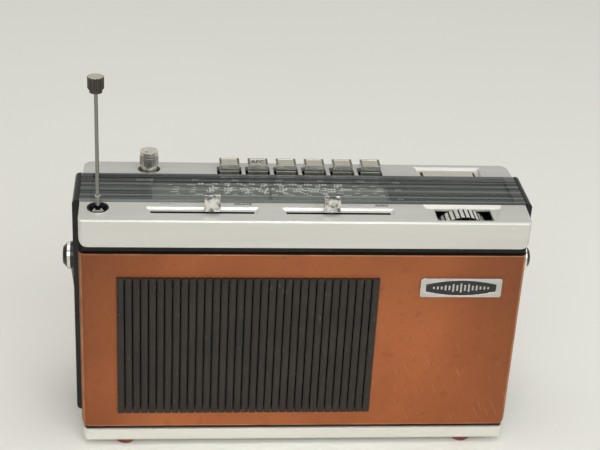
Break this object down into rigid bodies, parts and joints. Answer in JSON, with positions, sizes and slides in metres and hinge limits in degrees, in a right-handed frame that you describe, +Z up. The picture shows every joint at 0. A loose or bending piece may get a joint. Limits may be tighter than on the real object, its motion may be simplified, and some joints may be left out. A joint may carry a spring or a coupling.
{
  "type": "portable radio",
  "caption": "Portable radio with tan leather covers, metal top decks, dial glass, piano keys, slide controls, telescopic aerial and a folding handle.",
  "frame": {"origin": "on the floor plane under the feet, at the middle of the bounding box of the whole radio with its handle folded back", "axes": "+Z up; the loudspeaker grille faces -Y; +X to the right as seen from the front, with the aerial at -X"},
  "size_m": [0.2928, 0.0966, 0.2452],
  "materials": {
    "leather": "fine grained orange-tan leather, satin",
    "case_black": "black moulded plastic, fine satin",
    "rail_black": "black plastic, semi gloss",
    "grille": "dark brown-grey moulded plastic",
    "cloth": "black woven loudspeaker cloth",
    "board": "plain pressed board",
    "deck": "matt silver, warm",
    "chrome": "bright plated",
    "steel": "pressed steel",
    "magnet": "sintered magnet and steel plates",
    "paper": "pressed paper cone",
    "foot": "reddish brown rubber",
    "glass": "smoked clear plastic, glossy",
    "dial": "printed dial, matt",
    "pointer": "pale plastic pointer",
    "lamp": "small filament lamp",
    "works": "dark green-grey moulded plastic",
    "cream": "cream plastic",
    "pcb": "brown laminate",
    "ferrite": "matt ferrite, grey-black",
    "coil": "waxed winding on a former",
    "battery": "card-wrapped dry battery"
  },
  "bodies": {
    "case": {"cabinet": "case_black", "front_leather": "leather", "rear_cover": "case_black", "rear_leather": "leather", "rear_screws": "chrome", "speaker_grille": "grille", "grille_cloth": "cloth", "speaker_baffle": "board", "speaker_basket": "steel", "speaker_cone": "paper", "speaker_magnet": "magnet", "badge_frame": "chrome", "badge_plate": "rail_black", "bottom_tray": "deck", "feet": "foot", "side_rails": "rail_black", "pivot_screws": "chrome", "pivot_rings": "chrome", "pivot_caps": "case_black", "top_deck_front": "deck", "top_deck_rear": "deck", "dial_glass": "glass", "dial_tray": "case_black", "dial_scale": "dial", "dial_lamp": "lamp", "chassis_plate": "steel", "key_bank": "works", "light_switch": "works", "tone_controls": "works", "volume_control": "works", "wheel_bracket": "steel", "tuning_capacitor": "cream", "antenna_bezel": "chrome", "antenna_sleeve": "steel", "ferrite_rod": "ferrite", "aerial_coils": "coil", "circuit_board": "pcb", "board_parts": "steel", "battery_holder": "case_black", "batteries": "battery"},
    "handle": {"handle_bow": "rail_black", "handle_grip": "case_black"},
    "volume": {"volume_knob": "chrome"},
    "bass": {"bass_slider": "chrome"},
    "treble": {"treble_slider": "chrome"},
    "light": {"light_key": "chrome"},
    "wheel": {"tuning_wheel": "chrome"},
    "pointer": {"dial_pointer": "pointer"},
    "drum": {"tuning_drum": "cream"},
    "aerial_1": {"antenna_section_1": "chrome"},
    "aerial_2": {"antenna_section_2": "chrome"},
    "aerial_3": {"antenna_section_3": "chrome"},
    "aerial_4": {"antenna_section_4": "chrome"},
    "aerial_rod": {"antenna_rod": "chrome"},
    "key_1": {"key_1": "chrome"},
    "key_2": {"key_2": "chrome"},
    "key_3": {"key_3": "chrome"},
    "key_4": {"key_4": "chrome"},
    "key_5": {"key_5": "chrome"},
    "key_6": {"key_6": "chrome"}
  },
  "joints": [
    {"name": "handle_swing", "type": "hinge", "parent": "case", "child": "handle", "pos_m": [0, -0.00784, 0.116], "axis": [1, 0, 0], "range_deg": [0, 141]},
    {"name": "key_1_press", "type": "slide", "parent": "case", "child": "key_1", "axis": [0, 0, -1], "range_m": [0, 0.0035], "stiffness_N_per_m": 300, "springref_m": -0.002},
    {"name": "key_2_press", "type": "slide", "parent": "case", "child": "key_2", "axis": [0, 0, -1], "range_m": [0, 0.0035], "stiffness_N_per_m": 300, "springref_m": -0.002},
    {"name": "key_3_press", "type": "slide", "parent": "case", "child": "key_3", "axis": [0, 0, -1], "range_m": [0, 0.0035], "stiffness_N_per_m": 300, "springref_m": -0.002},
    {"name": "key_4_press", "type": "slide", "parent": "case", "child": "key_4", "axis": [0, 0, -1], "range_m": [0, 0.0035], "stiffness_N_per_m": 300, "springref_m": -0.002},
    {"name": "key_5_press", "type": "slide", "parent": "case", "child": "key_5", "axis": [0, 0, -1], "range_m": [0, 0.0035], "stiffness_N_per_m": 300, "springref_m": -0.002},
    {"name": "key_6_press", "type": "slide", "parent": "case", "child": "key_6", "axis": [0, 0, -1], "range_m": [0, 0.0035], "stiffness_N_per_m": 300, "springref_m": -0.002},
    {"name": "light_press", "type": "slide", "parent": "case", "child": "light", "axis": [0, 0, -1], "range_m": [0, 0.0025], "stiffness_N_per_m": 300, "springref_m": -0.002},
    {"name": "volume_turn", "type": "hinge", "parent": "case", "child": "volume", "pos_m": [-0.0941, 0.01966, 0.166], "axis": [0, 0, 1], "range_deg": [-150, 150]},
    {"name": "bass_slide", "type": "slide", "parent": "case", "child": "bass", "axis": [1, 0, 0], "range_m": [-0.033, 0.0215]},
    {"name": "treble_slide", "type": "slide", "parent": "case", "child": "treble", "axis": [1, 0, 0], "range_m": [-0.0235, 0.032]},
    {"name": "tuning_turn", "type": "hinge", "parent": "case", "child": "wheel", "pos_m": [0.0948, -0.03694, 0.1445], "axis": [0, 1, 0], "range_deg": [-954, 954]},
    {"name": "pointer_slide", "type": "slide", "parent": "case", "child": "pointer", "axis": [1, 0, 0], "range_m": [-0.0702, 0.0702]},
    {"name": "drum_turn", "type": "hinge", "parent": "case", "child": "drum", "pos_m": [0.0948, -0.02334, 0.116], "axis": [0, 1, 0], "range_deg": [-183, 183]},
    {"name": "aerial_slide_1", "type": "slide", "parent": "case", "child": "aerial_1", "axis": [0, 0, 1], "range_m": [0, 0.115]},
    {"name": "aerial_slide_2", "type": "slide", "parent": "aerial_1", "child": "aerial_2", "axis": [0, 0, 1], "range_m": [0, 0.116]},
    {"name": "aerial_slide_3", "type": "slide", "parent": "aerial_2", "child": "aerial_3", "axis": [0, 0, 1], "range_m": [0, 0.116]},
    {"name": "aerial_slide_4", "type": "slide", "parent": "aerial_3", "child": "aerial_4", "axis": [0, 0, 1], "range_m": [-0.0085, 0.107]},
    {"name": "aerial_slide_5", "type": "slide", "parent": "aerial_4", "child": "aerial_rod", "axis": [0, 0, 1], "range_m": [-0.0642, 0.052]}
  ],
  "couplings": [
    {"joint": "pointer_slide", "follows": "tuning_turn", "m_per_rad": 0.0042},
    {"joint": "drum_turn", "follows": "tuning_turn", "ratio": 0.19091}
  ]
}
